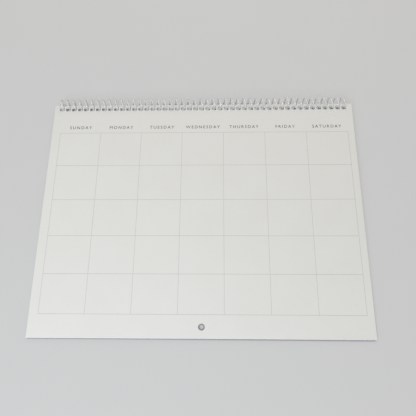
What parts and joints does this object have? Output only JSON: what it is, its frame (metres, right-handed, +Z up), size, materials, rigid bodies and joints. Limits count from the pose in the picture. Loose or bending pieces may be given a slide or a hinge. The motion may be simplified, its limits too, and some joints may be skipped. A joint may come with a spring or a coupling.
{
  "type": "wall calendar",
  "caption": "Coil-bound wall calendar lying flat, blank month grid on its top leaf, which turns over on the clear plastic coil; hanging hole at the free edge.",
  "frame": {"origin": "on the table, under the middle of the part's bounding box", "axes": "+X along the bound edge to the right of the month grid, +Y from the free edge towards the coil, +Z up; the leaves lean about one degree because the coil holds up the bound edge"},
  "size_m": [0.3048, 0.2356, 0.012],
  "materials": {
    "leaf_paper": "matte",
    "pages_paper": "matte",
    "cover_card": "matte",
    "grid_ink": "matte",
    "coil_plastic": "gloss"
  },
  "bodies": {
    "binding": {"coil": "coil_plastic", "page_block": "pages_paper", "back_cover": "cover_card"},
    "leaf": {"month_leaf": "leaf_paper", "printed_grid": "grid_ink"}
  },
  "joints": [
    {"name": "leaf_turn", "type": "hinge", "parent": "binding", "child": "leaf", "pos_m": [0, 0.11201, 0.006], "axis": [-1, 0, 0], "range_deg": [0, 180]}
  ]
}
